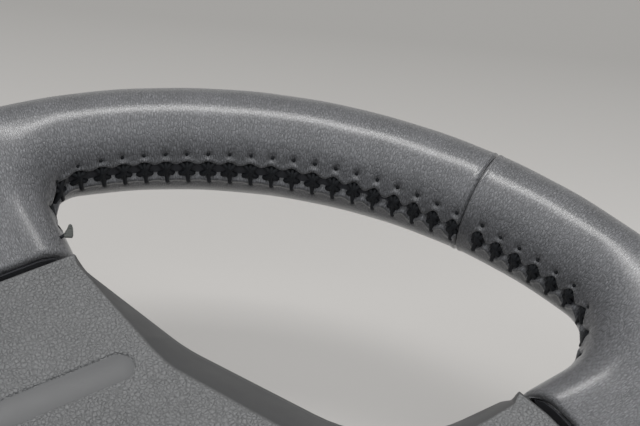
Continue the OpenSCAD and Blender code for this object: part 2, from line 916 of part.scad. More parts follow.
module airbag_cushion() {
    base_z = can_floor + can_t + seat_gap;
    inner_w = can_w - 2 * can_t - 2;
    inner_l = can_l - 2 * can_t - 2;
    color("white")
    difference() {
        translate([0, can_y, base_z])
            rounded_box(inner_w, inner_l, can_top - base_z, can_r - 2);
        translate([0, can_y, base_z - 1])
            cylinder(h = generator_top - base_z + 1 + seat_gap, d = generator_d + 1, $fn = fine);
        translate([0, can_y, base_z + retainer_lift - seat_gap])
            cylinder(h = retainer_t + 3 * seat_gap, r = generator_flange_r + seat_gap, $fn = fine);
        for (a = stud_angles)
            translate([stud_pitch * cos(a), can_y + stud_pitch * sin(a), base_z - 1])
                cylinder(h = 5, r = stud_r + seat_gap, $fn = 32);
        for (a = stud_angles)
            translate([stud_pitch * cos(a), can_y + stud_pitch * sin(a), base_z + 3])
                cylinder(h = 3, r = stud_r + seat_gap, $fn = 32);
    }
}

module gas_generator() {
    bottom = generator_top - generator_h;
    color("silver")
    translate([0, can_y, 0])
    difference() {
        union() {
            translate([0, 0, bottom])
                cylinder(h = generator_h, d = generator_d, $fn = fine);
            translate([0, 0, can_floor - flange_t - seat_gap])
                intersection() {
                    cylinder(h = flange_t, r = generator_flange_r, $fn = fine);
                    rounded_box(can_w, can_l, flange_t, can_r);
                }
        }
        // Plug socket and gas ports
        translate([0, 0, bottom - 1])
            cylinder(h = 6, r = 9, $fn = 48);
        for (a = [0:30:330])
            rotate([0, 0, a])
                translate([generator_d / 2 - 3, 0, generator_top - 4])
                    rotate([0, 90, 0])
                        cylinder(h = 6, r = 1.8, $fn = 24);
        for (a = stud_angles)
            translate([stud_pitch * cos(a), stud_pitch * sin(a), can_floor - 4])
                cylinder(h = 5, r = stud_r + seat_gap, $fn = 32);
    }
}

module generator_nuts() {
    color("gold")
    for (a = stud_angles)
        translate([stud_pitch * cos(a), can_y + stud_pitch * sin(a), can_floor - flange_t - 4.2])
            difference() {
                cylinder(h = 3.9, r = nut_r, $fn = 6);
                translate([0, 0, -1])
                    cylinder(h = 6, r = stud_r + seat_gap / 2, $fn = 32);
            }
}

armature();
hub_insert();
rim_foam();
leather_top();
leather_left();
leather_bottom();
leather_right();
lacing_upper();
lacing_lower_left();
lacing_lower_right();
rear_cover();
rear_cover_screws();
guide_bolts();
guide_bushes();
horn_springs();
contact_carrier();
fixed_contact();
moving_contact();
airbag_cover();
airbag_can();
cushion_retainer();
airbag_cushion();
gas_generator();
generator_nuts();
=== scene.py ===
import math
import random

import bpy
import numpy as np
from mathutils import Matrix, Vector
from mathutils.geometry import tessellate_polygon


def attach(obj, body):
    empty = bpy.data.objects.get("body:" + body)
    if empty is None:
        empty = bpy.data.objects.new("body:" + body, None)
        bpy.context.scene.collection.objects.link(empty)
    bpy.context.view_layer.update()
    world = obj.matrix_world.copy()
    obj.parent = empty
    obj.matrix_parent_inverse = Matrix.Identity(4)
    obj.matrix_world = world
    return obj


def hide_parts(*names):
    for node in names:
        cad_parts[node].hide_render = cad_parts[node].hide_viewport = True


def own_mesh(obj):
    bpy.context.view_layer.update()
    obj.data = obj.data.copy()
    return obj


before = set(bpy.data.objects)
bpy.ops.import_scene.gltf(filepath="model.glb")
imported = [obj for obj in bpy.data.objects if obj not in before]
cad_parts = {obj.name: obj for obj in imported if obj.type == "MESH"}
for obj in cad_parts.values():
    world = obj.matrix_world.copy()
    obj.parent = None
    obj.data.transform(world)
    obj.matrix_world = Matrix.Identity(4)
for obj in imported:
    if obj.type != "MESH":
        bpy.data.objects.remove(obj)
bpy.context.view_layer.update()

MM = 0.001
QUARTER = math.pi / 2

# Main sizes in millimetres, as part.scad has them
RIM_R = 174.0
GRIP_R = 16.0
RIM_IN = RIM_R - GRIP_R
RIM_Z = 66.0
ROOT_SLOPE = math.radians(16)
REAR_SLOPE = math.radians(6)
ROOT_END = RIM_R - GRIP_R * math.sin(ROOT_SLOPE)
LEATHER_Y = 128.5
LEATHER_R = 126.5
SIDE_LOW, SIDE_HIGH, BOTTOM_HALF = 31.0, 20.0, 30.5
BOTTOM_FILLET, SIDE_FILLET, UPPER_FILLET = 8.0, 14.0, 15.0
SEAM_LOW, SEAM_HIGH = 212.0, 146.0
PAD_Y, PAD_R = 125.5, 123.5
COVER_TOP, COVER_CROWN = 73.0, 1.5
COVER_SKIRT = 60.0
RECESS_HALF, RECESS_R, RECESS_Y = 27.5, 4.65, 81.0

# Rows of the leather's meshes: distances from a groove or a seam, where even rows follow, counts
GROOVE_ROWS, PAST_GROOVE = np.array([0, 0.12, 0.4, 0.8, 1.3, 1.9, 2.6]), 3.6
SEAM_ROWS, PAST_SEAM = np.array([0.1, 0.3, 0.55, 0.85, 1.2, 1.6, 2.1]), 2.6
ROOT_ROWS, FILLET_ROWS = 30, 34
FRONT_FLATS, REAR_FLATS, OUTER_SAMPLES = 5, 4, 25
MERGE = 0.002

# Samples of a section's two round quarters, fine where the lacing runs
FRONT_ANGLES = np.radians(np.concatenate([np.arange(0, 40, 1.85), np.linspace(40, 90, 10)]))
REAR_ANGLES = np.radians(np.concatenate([np.arange(0, 26, 1.85), np.linspace(26, 90, 10)]))

# A root's heights follow its spoke up to this radius, and the rim's radius past the second length
REACH_FROM, REACH_OVER = 146, 26
# Depth of the round side, as a share of the way to the rim's ridge, at most
ROUND_SHARE = 0.8
# A side spoke's groove is round, out to this half width, and its rows are straight again after it
ROUND_HALF, ROUND_FADE = 60, 16
# How far the leather turns in at a groove, and a distance where it no longer does
GROOVE_ROLL, CLEAR_OF_GROOVE = 1.8, 10
# Depth and half width of a sewn seam, then height, place and half width of the lips beside it
SEAM_D, SEAM_W = 0.95, 0.3
SEAM_LIP, SEAM_LIP_AT, SEAM_LIP_W = 0.22, 0.95, 0.55

# Lacing: places along a section from its inner equator, in millimetres
PITCH = 6.4
S_UP, S_MID, S_LOW = 8.5, 2.9, -2.5
# Half widths of its trough over and under the middle: where loose, what it loses where tight,
# its swing from stitch to stitch, and what the swing gains where tight
TROUGH_UP = (2.8, 0.85, 0.45, 0.85)
TROUGH_LOW = (2.75, 0.85, 0.35, 0.95)
TROUGH_D, HOLE_D, PULL_D, LOW_HOLE_D = 1.7, 1.0, 0.35, 0.6
LIP_H, TONGUE_H, PUCKER_H = 0.28, 0.35, 0.42
END_FADE = 2.5

# Slow waves of the leather over its foam: phase change along X, Y and Z, phase and size
WAVES = [
    (0.11, 0.07, 0, 1.3, 1), (0, 0.09, -0.13, 0.4, 1),
    (0.23, -0.19, 0, 2.1, 0.5), (0, 0.31, 0.27, 4.0, 0.4),
]
WAVE_H = 0.07


def smooth(x):
    x = np.clip(x, 0.0, 1.0)
    return x * x * (3 - 2 * x)


def bell(x):
    return np.exp(-(x ** 2))


def dimple(x, y, radius):
    return np.exp(-((x ** 2 + y ** 2) / radius ** 2))


def on_circle(radius, angle):
    return radius * math.cos(angle), radius * math.sin(angle)


def root_plane(u):
    """Height of a root's front over the rim's middle plane at distance u."""
    edge = GRIP_R * math.cos(ROOT_SLOPE) - (ROOT_END - u) * math.tan(ROOT_SLOPE)
    ring = np.sqrt(np.maximum(GRIP_R ** 2 - (u - RIM_R) ** 2, 0))
    return np.where(u < ROOT_END, edge, ring)


def root_back(u):
    return GRIP_R + np.maximum(RIM_R - u, 0) * math.tan(REAR_SLOPE)


def reach(q):
    """Distance along the spoke that sets a root's heights, and turns into the rim's radius."""
    r = np.hypot(q[..., 0], q[..., 1])
    return q[..., 0] + (r - q[..., 0]) * smooth((r - REACH_FROM) / REACH_OVER)


def spoke_share(tau):
    """How much of the spoke's section is left at place tau of its fillet into the rim."""
    return 1 - float(smooth((tau - 0.1) / 0.9))


class Strip:
    """Leather between one opening's edge and the ridge of the rim, from a groove to a seam.

    It is made in the spoke's own plane: u runs out along the spoke and w to its side.
    """

    def __init__(self, half, fillet, start, seam, step, rise=((0, 1), (0, 0))):
        self.half, self.fillet, self.start = half, fillet, start
        self.rise_knots = rise
        centre_r = RIM_IN - fillet
        self.uf = math.sqrt(centre_r ** 2 - (half + fillet) ** 2)
        self.turn = math.atan2(half + fillet, self.uf)
        self.centre = np.array([self.uf, half + fillet])
        far_line, far_arc = RIM_R - self.uf, RIM_R * self.turn
        tau_mid = far_line / (far_line + far_arc)
        # Each row has two ends, an arc, the spoke's share at both ends, and if it ends on the ridge
        rows = []
        even = np.linspace(start + PAST_GROOVE, RIM_R, ROOT_ROWS)
        us = np.concatenate([start + GROOVE_ROWS, even])
        for u in us:
            tau = 0.0 if u <= self.uf else (u - self.uf) / far_line * tau_mid
            near = (u, half) if u <= self.uf else self.fillet_point(tau)
            arc = u - start if u <= self.uf else self.fillet_arc(tau)
            rows.append((near, (u, 0.0), arc, spoke_share(tau), 1.0, u == us[-1]))
        for psi in np.linspace(0, self.turn, FILLET_ROWS)[1:]:
            tau = tau_mid + (1 - tau_mid) * psi / self.turn
            rim_share = 1 - float(smooth(psi / self.turn))
            rows.append((
                self.fillet_point(tau), on_circle(RIM_R, psi), self.fillet_arc(tau),
                spoke_share(tau), rim_share, True,
            ))
        arc_turn = rows[-1][2]
        length = RIM_IN * (seam - self.turn)
        count = max(2, int(round((length - PAST_SEAM) / step))) + 1
        even = np.linspace(0, length - PAST_SEAM, count)[1:]
        for d in np.concatenate([even, length - SEAM_ROWS[::-1]]):
            psi = self.turn + d / RIM_IN
            ends = on_circle(RIM_IN, psi), on_circle(RIM_R, psi)
            rows.append((*ends, arc_turn + d, 0.0, 0.0, True))
        columns = [np.array(column) for column in zip(*rows)]
        self.near, self.far, self.arc, self.b_near, self.b_far, self.ridge = columns
        self.seam, self.seam_start = seam, None
        self.seam_arc = arc_turn + length
        self.far_u = np.minimum(self.near[:, 0], self.far[:, 0])
        self.far_u[us.size:] = start + CLEAR_OF_GROOVE
        self.build()

    def on_rim(self, psi):
        return psi > self.turn / 2

    def rise(self, a):
        """How far the stitch holes lie above their usual place at arc a."""
        return np.interp(a, *self.rise_knots)

    def fillet_point(self, tau):
        beta = -QUARTER + tau * (QUARTER + self.turn)
        return self.centre + self.fillet * np.array([math.cos(beta), math.sin(beta)])

    def fillet_arc(self, tau):
        return self.uf - self.start + self.fillet * tau * (QUARTER + self.turn)

    def depth(self, p):
        """Distance of a point from the opening's edge."""
        u, w = p[..., 0], p[..., 1]
        r = np.hypot(u, w)
        side = self.half - w
        corner = np.hypot(u - self.centre[0], w - self.centre[1]) - self.fillet
        on_rim = np.arctan2(w, u) >= self.turn - 1e-9
        return np.where(on_rim, r - RIM_IN, np.where(u <= self.uf, side, corner))

    def build(self):
        n = len(self.arc)
        far_d = self.depth(self.far)
        front0 = (1 - self.b_near) * GRIP_R + self.b_near * root_plane(reach(self.near))
        back0 = (1 - self.b_near) * GRIP_R + self.b_near * root_back(reach(self.near))
        h = (front0 + back0) / 2
        mid = (front0 - back0) / 2
        hs = np.minimum(h, ROUND_SHARE * far_d)

        def side(angles, sign, surface, flats):
            p = hs[:, None] * (1 - np.cos(angles))[None, :] / far_d[:, None]
            last = p[:, -1:]
            flat = last + (1 - last) * np.linspace(0, 1, flats + 1)[None, 1:]
            p = np.concatenate([p, flat], axis=1)
            q = self.near[:, None, :] + (self.far - self.near)[:, None, :] * p[..., None]
            d = np.clip(self.depth(q), 0, None)
            e = np.sqrt(np.clip(1 - (1 - np.minimum(d / h[:, None], 1)) ** 2, 0, 1))
            b = self.b_near[:, None] + (self.b_far - self.b_near)[:, None] * smooth(p)
            env = (1 - b) * GRIP_R + b * surface(reach(q))
            z = mid[:, None] + sign * (env - sign * mid[:, None]) * e
            return np.concatenate([q, z[..., None]], axis=2)

        front = side(FRONT_ANGLES, 1, root_plane, FRONT_FLATS)
        rear = side(REAR_ANGLES, -1, root_back, REAR_FLATS)
        # Samples run from the front's far end over the equator to the rear's far end
        self.p = np.concatenate([front[:, ::-1], rear[:, 1:]], axis=1)
        self.equator = front.shape[1] - 1
        seg = np.linalg.norm(np.diff(self.p, axis=1), axis=2)
        run = np.concatenate([np.zeros((n, 1)), np.cumsum(seg, axis=1)], axis=1)
        self.s = run[:, self.equator][:, None] - run
        # A side spoke's round groove moves the ends of the rows on the spoke
        if self.start == LEATHER_R:
            w = np.minimum(np.abs(self.p[..., 1]), ROUND_HALF)
            lag = self.start - np.sqrt(self.start ** 2 - w ** 2)
            fade = 1 - smooth((self.p[..., 0] - self.start) / ROUND_FADE)
            self.p[..., 0] -= lag * fade * self.b_near[:, None]
        nrm = np.cross(np.gradient(self.p, axis=0), np.gradient(self.p, axis=1))
        nrm /= np.linalg.norm(nrm, axis=2, keepdims=True) + 1e-12
        # Outwards is away from the section's middle
        out = self.p[:, self.equator] - self.p[:, :1].mean(axis=1)
        if np.median(np.sum(nrm[:, self.equator] * out, axis=1)) < 0:
            nrm = -nrm
        nrm[:, 0] = (0, 0, 1)
        nrm[:, -1] = (0, 0, -1)
        self.n = nrm

    def at(self, a, s, lift=0.0):
        """Point on the undisplaced leather at arc a and section place s."""
        i = int(np.clip(np.searchsorted(self.arc, a) - 1, 0, len(self.arc) - 2))
        t = (a - self.arc[i]) / (self.arc[i + 1] - self.arc[i])
        out = []
        for k in (i, i + 1):
            row = self.s[k][::-1]
            raised = self.p[k, ::-1] + lift * self.n[k, ::-1]
            out.append([np.interp(s, row, raised[:, c]) for c in range(3)])
        return np.array(out[0]) * (1 - t) + np.array(out[1]) * t


class RimStrip(Strip):
    """Leather of the plain rim between two seams, whose arc starts at the first one."""

    def __init__(self, first, last, step):
        length = RIM_IN * (last - first)
        edge = np.concatenate([[0], SEAM_ROWS])
        even = np.linspace(
            PAST_SEAM, length - PAST_SEAM, int(round((length - 2 * PAST_SEAM) / step))
        )
        arc = np.concatenate([edge, even, length - edge[::-1]])
        psi = first + arc / RIM_IN
        # No spoke: every row is on the rim
        self.start, self.turn, self.uf = 1000.0, -10.0, 0.0
        self.half, self.fillet, self.centre = 0.0, 1.0, np.zeros(2)
        self.rise_knots = ((0, 1), (0, 0))
        self.near = RIM_IN * np.stack([np.cos(psi), np.sin(psi)], axis=-1)
        self.far = RIM_R * np.stack([np.cos(psi), np.sin(psi)], axis=-1)
        self.arc, self.ridge = arc, np.ones(len(arc), bool)
        self.b_near, self.b_far = np.zeros(len(arc)), np.zeros(len(arc))
        self.seam, self.seam_start, self.seam_arc = last, first, length
        self.build()


def relief(a, s, rise, stitches, tight):
    """Laced trough, holes and puckers as a height over the leather, and how dark the trough and
    holes are:
    painted shade over their dark backing and thread.
    """
    st = np.sort(np.asarray(stitches))
    k = np.clip(np.searchsorted(st, a), 1, len(st) - 1)
    x = np.where(np.abs(a - st[k - 1]) < np.abs(a - st[k]), a - st[k - 1], a - st[k])
    swing = np.cos(2 * math.pi * x / PITCH)
    w_up, w_low = trough_widths(swing, tight)
    up, mid, low = S_UP + rise, S_MID + rise / 2, S_LOW + rise / 2
    # Distance past the trough's edge, negative inside the trough
    edge = np.maximum((s - mid) - w_up, (mid - s) - w_low)
    trough = 1 - smooth((edge + 0.9) / 1.1)
    lip = bell((edge - 0.75) / 0.7)
    tongue = bell((s - mid + w_low + 0.8) / 0.75) * (0.5 - 0.5 * swing)
    hole = dimple(x, s - up, 0.62)
    pucker = dimple((x - 0.2) / 0.95, (s - up + 1.7) / 0.7, 1)
    pull = bell(x / 1.2) * smooth((up + 3.0 - s) / 3.0) * smooth((s - mid) / 2)
    low_hole = dimple(x - 0.4, s - low, 0.7)
    height = (
        -TROUGH_D * trough + LIP_H * lip + TONGUE_H * tongue + PUCKER_H * pucker
        - HOLE_D * hole - PULL_D * pull - LOW_HOLE_D * low_hole
    )
    # Painted shade: the trough and the stitch holes are darkened for the shade in them, on top of
    # their dark backing and thread
    dark = 1.2 * (1 - smooth((edge + 0.25) / 0.45)) + 1.6 * (hole - 0.3) + 1.2 * (low_hole - 0.4)
    ends = smooth((a - st[0] + PITCH / 2) / END_FADE)
    ends = ends * smooth((st[-1] + PITCH / 2 - a) / END_FADE)
    return height * ends, np.clip(dark, 0, 1) * ends


def trough_widths(swing, tight):
    return [
        loose - less * tight + (wave + more * tight) * swing
        for loose, less, wave, more in (TROUGH_UP, TROUGH_LOW)
    ]


def undulation(p):
    """Slow unevenness of the leather over its foam."""
    x, y, z = p[..., 0], p[..., 1], p[..., 2]
    return WAVE_H * sum(
        size * np.sin(kx * x + ky * y + kz * z + phase) for kx, ky, kz, phase, size in WAVES
    )


def groove_roll(t):
    """How far the leather turns in at distance t from a spoke's groove."""
    left = GROOVE_ROLL - np.clip(t, 0, GROOVE_ROLL)
    return GROOVE_ROLL - np.sqrt(np.maximum(GROOVE_ROLL ** 2 - left ** 2, 0))


def seam_roll(x):
    """Depth of the sewn seam at distance x from it."""
    return SEAM_D * bell(x / SEAM_W) - SEAM_LIP * bell((x - SEAM_LIP_AT) / SEAM_LIP_W)


def to_wheel(p, theta, side, z=RIM_Z):
    """Moves a strip's points, or turns its directions with z 0, into the wheel's frame."""
    eu = np.array([math.cos(theta), math.sin(theta)])
    ew = side * np.array([-math.sin(theta), math.cos(theta)])
    xy = p[..., 0:1] * eu + p[..., 1:2] * ew
    return np.concatenate([xy, p[..., 2:] + z], axis=-1)


class Panel:
    """Vertices, faces and dark marks of one leather panel, gathered from its strips.

    The marks carry the painted shade of the trough and holes.
    """

    def __init__(self):
        self.verts, self.faces, self.dark = [], [], []
        self.count = 0

    def grid(self, pts, dark, flip):
        n, m = pts.shape[:2]
        idx = self.count + np.arange(n * m).reshape(n, m)
        self.verts.append(pts.reshape(-1, 3))
        self.dark.append(dark.reshape(-1))
        self.count += n * m
        quads = np.stack([idx[:-1, :-1], idx[1:, :-1], idx[1:, 1:], idx[:-1, 1:]], axis=-1)
        quads = quads.reshape(-1, 4)
        self.faces += (quads[:, ::-1] if flip else quads).tolist()
        return idx

    def cap(self, ring, flip):
        ring = [int(v) for v in ring]
        self.faces.append(ring[::-1] if flip else ring)

    def strip(self, strip, theta, side, stitches, tight):
        """Adds one strip with its share of the rim's outer half and its end caps."""
        flip = side < 0

        def seams(psi, r):
            depth = seam_roll((strip.seam - psi) * r)
            if strip.seam_start is not None:
                depth = depth + seam_roll((psi - strip.seam_start) * r)
            return depth

        a = np.repeat(strip.arc[:, None], strip.p.shape[1], axis=1)
        lift, dark = relief(a, strip.s, strip.rise(a), stitches, tight(a))
        r = np.hypot(strip.p[..., 0], strip.p[..., 1])
        psi = np.arctan2(strip.p[..., 1], strip.p[..., 0])
        lift = lift - seams(psi, r) * strip.on_rim(psi)
        if strip.seam_start is None:
            lift = lift - groove_roll(strip.far_u - strip.start)[:, None]
        world = to_wheel(strip.p, theta, side)
        lift = lift + undulation(world)
        inner = self.grid(world + lift[..., None] * to_wheel(strip.n, theta, side, 0), dark, flip)
        rim = np.nonzero(strip.ridge)[0]
        angle = np.radians(np.linspace(90, -90, OUTER_SAMPLES))
        ca, sa = np.cos(angle), np.sin(angle)
        psi = np.arctan2(strip.far[rim, 1], strip.far[rim, 0])[:, None]
        rad = RIM_R + GRIP_R * ca[None, :]
        height = GRIP_R * sa[None, :] + 0 * psi
        outer = np.stack([rad * np.cos(psi), rad * np.sin(psi), height], axis=-1)
        out = np.stack([ca * np.cos(psi), ca * np.sin(psi), sa + 0 * psi], axis=-1)
        world = to_wheel(outer, theta, side)
        drop = -seams(psi, rad) + undulation(world)
        out = to_wheel(out, theta, side, 0)
        outer = self.grid(world + drop[..., None] * out, np.zeros(drop.shape), not flip)
        # Caps at the seam and at the groove or the other seam
        self.cap(np.concatenate([inner[-1], outer[-1][::-1][1:-1]]), flip)
        if strip.seam_start is None:
            self.cap(inner[0], not flip)
        else:
            self.cap(np.concatenate([inner[0], outer[0][::-1][1:-1]]), not flip)


def mesh_object(name, verts, faces, material, body, dark=None, smooth_shade=True):
    mesh = bpy.data.meshes.new(name)
    mesh.from_pydata((np.asarray(verts) * MM).tolist(), [], faces)
    mesh.update()
    if dark is not None:
        layer = mesh.attributes.new("dark", "FLOAT", "POINT")
        layer.data.foreach_set("value", np.asarray(dark, dtype=np.float32))
    if smooth_shade:
        mesh.shade_smooth()
    obj = bpy.data.objects.new(name, mesh)
    bpy.context.scene.collection.objects.link(obj)
    for m in material if isinstance(material, list) else [material]:
        mesh.materials.append(m)
    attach(obj, body)
    return obj


def merge_panel(panel, mirror):
    """One list of vertices and faces without doubles, mirrored in X where asked."""
    verts = np.concatenate(panel.verts)
    key = np.round(verts / MERGE).astype(np.int64)
    _, first, where = np.unique(key, axis=0, return_index=True, return_inverse=True)
    where = where.reshape(-1)
    out = verts[first] * np.array([-1 if mirror else 1, 1, 1])
    faces = []
    for face in panel.faces:
        f = [int(where[v]) for v in face]
        f = [v for k, v in enumerate(f) if v != f[k - 1]]
        if len(f) > 2 and len(set(f)) == len(f):
            faces.append(f[::-1] if mirror else f)
    return out, faces, np.concatenate(panel.dark)[first]


# Places of the stitches along each strip, and how far their holes lie off the usual place
BOTTOM_STITCHES = [12.6, 19.0, 25.6, 31.9] + [38.8 + 6.43 * k for k in range(18)]
LEFT_STITCHES = sorted(68.2 - PITCH * k for k in range(9))
BOTTOM_RISE = (
    (18, 26, 31, 38, 46, 66, 97, 118, 130, 146),
    (-3.5, -3.5, -2.3, -1.4, -0.8, -0.3, 0.8, 0.9, 0.4, -0.5),
)
LEFT_RISE = ((20, 25, 31, 36, 62, 70), (-4.2, -4.2, -2.6, -2.2, -1.5, -0.5))
FIRST_UPPER_STITCH = 12


def photo_tight(a):
    return smooth((a - 90) / 55)


def even_tight(a):
    return 0.45 + 0 * a


def full_tight(a):
    return 1.0 + 0 * a


bottom_seam, left_seam = math.radians(270 - SEAM_LOW), math.radians(SEAM_LOW - 180)
bottom_strip = Strip(BOTTOM_HALF, BOTTOM_FILLET, LEATHER_Y, bottom_seam, 0.55, BOTTOM_RISE)
left_low = Strip(SIDE_LOW, SIDE_FILLET, LEATHER_R, left_seam, 0.55, LEFT_RISE)
left_up = Strip(SIDE_HIGH, UPPER_FILLET, LEATHER_R, math.radians(180 - SEAM_HIGH), 0.7)
top_strip = RimStrip(math.radians(180 - SEAM_HIGH), math.radians(SEAM_HIGH), 0.7)
upper_count = int(left_up.seam_arc / PITCH)
UPPER_STITCHES = sorted(left_up.seam_arc - PITCH / 2 - PITCH * k for k in range(upper_count))
UPPER_STITCHES = [a for a in UPPER_STITCHES if a > FIRST_UPPER_STITCH]
top_count = int(round(top_strip.seam_arc / PITCH))
TOP_STITCHES = [(k + 0.5) * top_strip.seam_arc / top_count for k in range(top_count)]


def shader(name, base, rough, specular=0.5):
    """New material and its node tools."""
    mat = bpy.data.materials.new(name)
    mat.use_nodes = True
    tree = mat.node_tree
    bsdf = tree.nodes["Principled BSDF"]
    bsdf.inputs["Base Color"].default_value = (*base, 1)
    bsdf.inputs["Roughness"].default_value = rough
    bsdf.inputs["Specular IOR Level"].default_value = specular
    return mat, tree, bsdf


def add(tree, kind, links=(), **values):
    """Adds a node, sets its values and sockets, and links its inputs."""
    node = tree.nodes.new(kind)
    for key, value in values.items():
        if key in node.inputs:
            node.inputs[key].default_value = value
        else:
            setattr(node, key, value)
    for socket, source in links:
        tree.links.new(source, node.inputs[socket])
    return node


def ramp(tree, source, stops):
    """Colour or value that follows source through stops."""
    node = add(tree, "ShaderNodeValToRGB", [("Fac", source)])
    cr = node.color_ramp
    while len(cr.elements) < len(stops):
        cr.elements.new(0.5)
    for element, (pos, value) in zip(cr.elements, stops):
        element.position = pos
        element.color = (*value, 1) if isinstance(value, tuple) else (value, value, value, 1)
    return node.outputs["Color"]


def times(tree, source, factor):
    """Source times a constant."""
    node = add(tree, "ShaderNodeMath", [(0, source)], operation="MULTIPLY")
    node.inputs[1].default_value = factor
    return node.outputs[0]


def noise(tree, place, scale, detail, **values):
    source = [("Vector", place)]
    return add(tree, "ShaderNodeTexNoise", source, Scale=scale, Detail=detail, **values).outputs


def raise_surface(tree, bsdf, height, depth_mm):
    """Bump from a height, over a depth in millimetres."""
    source = [("Height", height)]
    bump = add(tree, "ShaderNodeBump", source, Strength=1.0, Distance=depth_mm * MM)
    tree.links.new(bump.outputs["Normal"], bsdf.inputs["Normal"])
    return bump


def tinted(base, factor):
    return tuple(min(1, c * factor) for c in base)


def place_coords(tree):
    return add(tree, "ShaderNodeTexCoord").outputs["Object"]


def round_coords(tree, squeeze):
    """Coordinates that run round the rim, squeezed along it."""
    parts = add(tree, "ShaderNodeSeparateXYZ", [("Vector", place_coords(tree))]).outputs
    turn = add(tree, "ShaderNodeMath", [(0, parts["Y"]), (1, parts["X"])], operation="ARCTAN2")
    run = times(tree, turn.outputs[0], RIM_R * MM * squeeze)
    flat = add(tree, "ShaderNodeCombineXYZ", [("X", parts["X"]), ("Y", parts["Y"])]).outputs[0]
    radius = add(tree, "ShaderNodeVectorMath", [(0, flat)], operation="LENGTH").outputs["Value"]
    links = [("X", run), ("Y", radius), ("Z", parts["Z"])]
    return add(tree, "ShaderNodeCombineXYZ", links).outputs[0]


def grained(name, base, tint, rough, cell_mm, bump_mm, wrinkle=0.5, valley=0.8, crest=1.0,
            leather=False, bevel_shade=None):
    """Pebbled leather or plastic: rounded cells with fine wrinkles, and slow colour changes.

    Valley and crest darken the grain's valleys and lighten its crests, as painted shade and painted
    highlight. Leather has a coat, and its trough and holes get painted shade over their dark
    backing and thread. Bevel is a painted shade colour for the smooth edge round a grained face, a
    darker base that stands in for the shade and dark reflection on that band.
    """
    mat, tree, bsdf = shader(name, base, rough)
    cells_per_m = 1000 / cell_mm
    place = round_coords(tree, LEATHER_SQUEEZE) if leather else place_coords(tree)
    warp = noise(tree, place, cells_per_m * 0.35, 2.0)["Color"]
    offset = add(
        tree, "ShaderNodeVectorMath", [(0, warp)], operation="SCALE", Scale=cell_mm * MM * 0.9
    ).outputs[0]
    moved = add(tree, "ShaderNodeVectorMath", [(0, place), (1, offset)], operation="ADD").outputs[0]
    cells = add(
        tree, "ShaderNodeTexVoronoi", [("Vector", moved)],
        feature="DISTANCE_TO_EDGE", Scale=cells_per_m,
    )
    dome = ramp(tree, cells.outputs["Distance"], [(0.0, 0.0), (0.14, 0.6), (0.42, 1.0)])
    fine = noise(tree, place, cells_per_m * 1.7, 4.0)["Fac"]
    height = add(tree, "ShaderNodeMath", [(0, fine), (2, dome)], operation="MULTIPLY_ADD")
    height.inputs[1].default_value = wrinkle
    height = height.outputs[0]
    bump = raise_surface(tree, bsdf, height, bump_mm)
    slow = noise(tree, place, 42.0, 5.0, Roughness=0.6)["Fac"]
    light = tuple(c * t for c, t in zip(base, tint))
    mix = ramp(tree, slow, [(0.3, tinted(base, 0.86)), (0.7, light)])
    level = times(tree, height, 1 / (1 + 0.6 * wrinkle))
    # Painted shade and painted highlight: the base colour is darkened in the grain's valleys and
    # lightened on its crests
    tone = ramp(tree, level, [(0.2, valley), (0.6, 1.0), (0.95, crest)])
    links = [(6, mix), (7, tone)]
    colour = add(tree, "ShaderNodeMix", links, data_type="RGBA", blend_type="MULTIPLY")
    colour.inputs[0].default_value = 1.0
    colour = colour.outputs[2]
    gloss = ramp(tree, slow, [(0.35, rough - 0.05), (0.65, rough + 0.06)])
    if bevel_shade or leather:
        mark = add(tree, "ShaderNodeAttribute", attribute_name="dark").outputs["Fac"]
    # Painted shade: the smooth bevel gets a darker base colour that stands in for the shade and
    # dark reflection on the band
    if bevel_shade:
        on_face = ramp(tree, mark, [(0.88, 0.0), (0.99, 1.0)])
        tree.links.new(on_face, bump.inputs["Strength"])
        plain = add(tree, "ShaderNodeMix", [(0, on_face), (7, colour)], data_type="RGBA")
        plain.inputs[6].default_value = (*bevel_shade, 1)
        colour = plain.outputs[2]
    if leather:
        bsdf.inputs["Coat Weight"].default_value = 1.0
        bsdf.inputs["Coat Roughness"].default_value = 0.29
        # Painted shade mixed into the base colour by the dark mark, over the trough's dark backing
        shade = add(tree, "ShaderNodeMix", [(0, mark), (6, colour)], data_type="RGBA")
        shade.inputs[7].default_value = (*TROUGH_SHADE_COLOUR, 1)
        colour = shade.outputs[2]
        dull = add(tree, "ShaderNodeMix", [(0, mark), (2, gloss)], data_type="FLOAT")
        dull.inputs[3].default_value = 1.0
        gloss = dull.outputs[0]
    tree.links.new(colour, bsdf.inputs["Base Color"])
    tree.links.new(gloss, bsdf.inputs["Roughness"])
    return mat


def mottled(name, base, rough, metallic=0.0, scale=60.0, bump_mm=0.05, spread=0.12, stretch=None):
    """Plain moulded, cast or drawn surface with small changes of colour, gloss and height."""
    mat, tree, bsdf = shader(name, base, rough)
    bsdf.inputs["Metallic"].default_value = metallic
    place = place_coords(tree)
    if stretch:
        place = add(tree, "ShaderNodeMapping", [("Vector", place)], Scale=stretch).outputs[0]
    slow = noise(tree, place, scale, 6.0, Roughness=0.65)["Fac"]
    fine = noise(tree, place, scale * 12, 3.0)["Fac"]
    colour = ramp(tree, slow, [(0.3, tinted(base, 1 - spread)), (0.7, tinted(base, 1 + spread))])
    tree.links.new(colour, bsdf.inputs["Base Color"])
    gloss = ramp(tree, slow, [(0.3, max(0.05, rough - 0.08)), (0.7, min(1, rough + 0.08))])
    tree.links.new(gloss, bsdf.inputs["Roughness"])
    raise_surface(tree, bsdf, fine, bump_mm)
    return mat


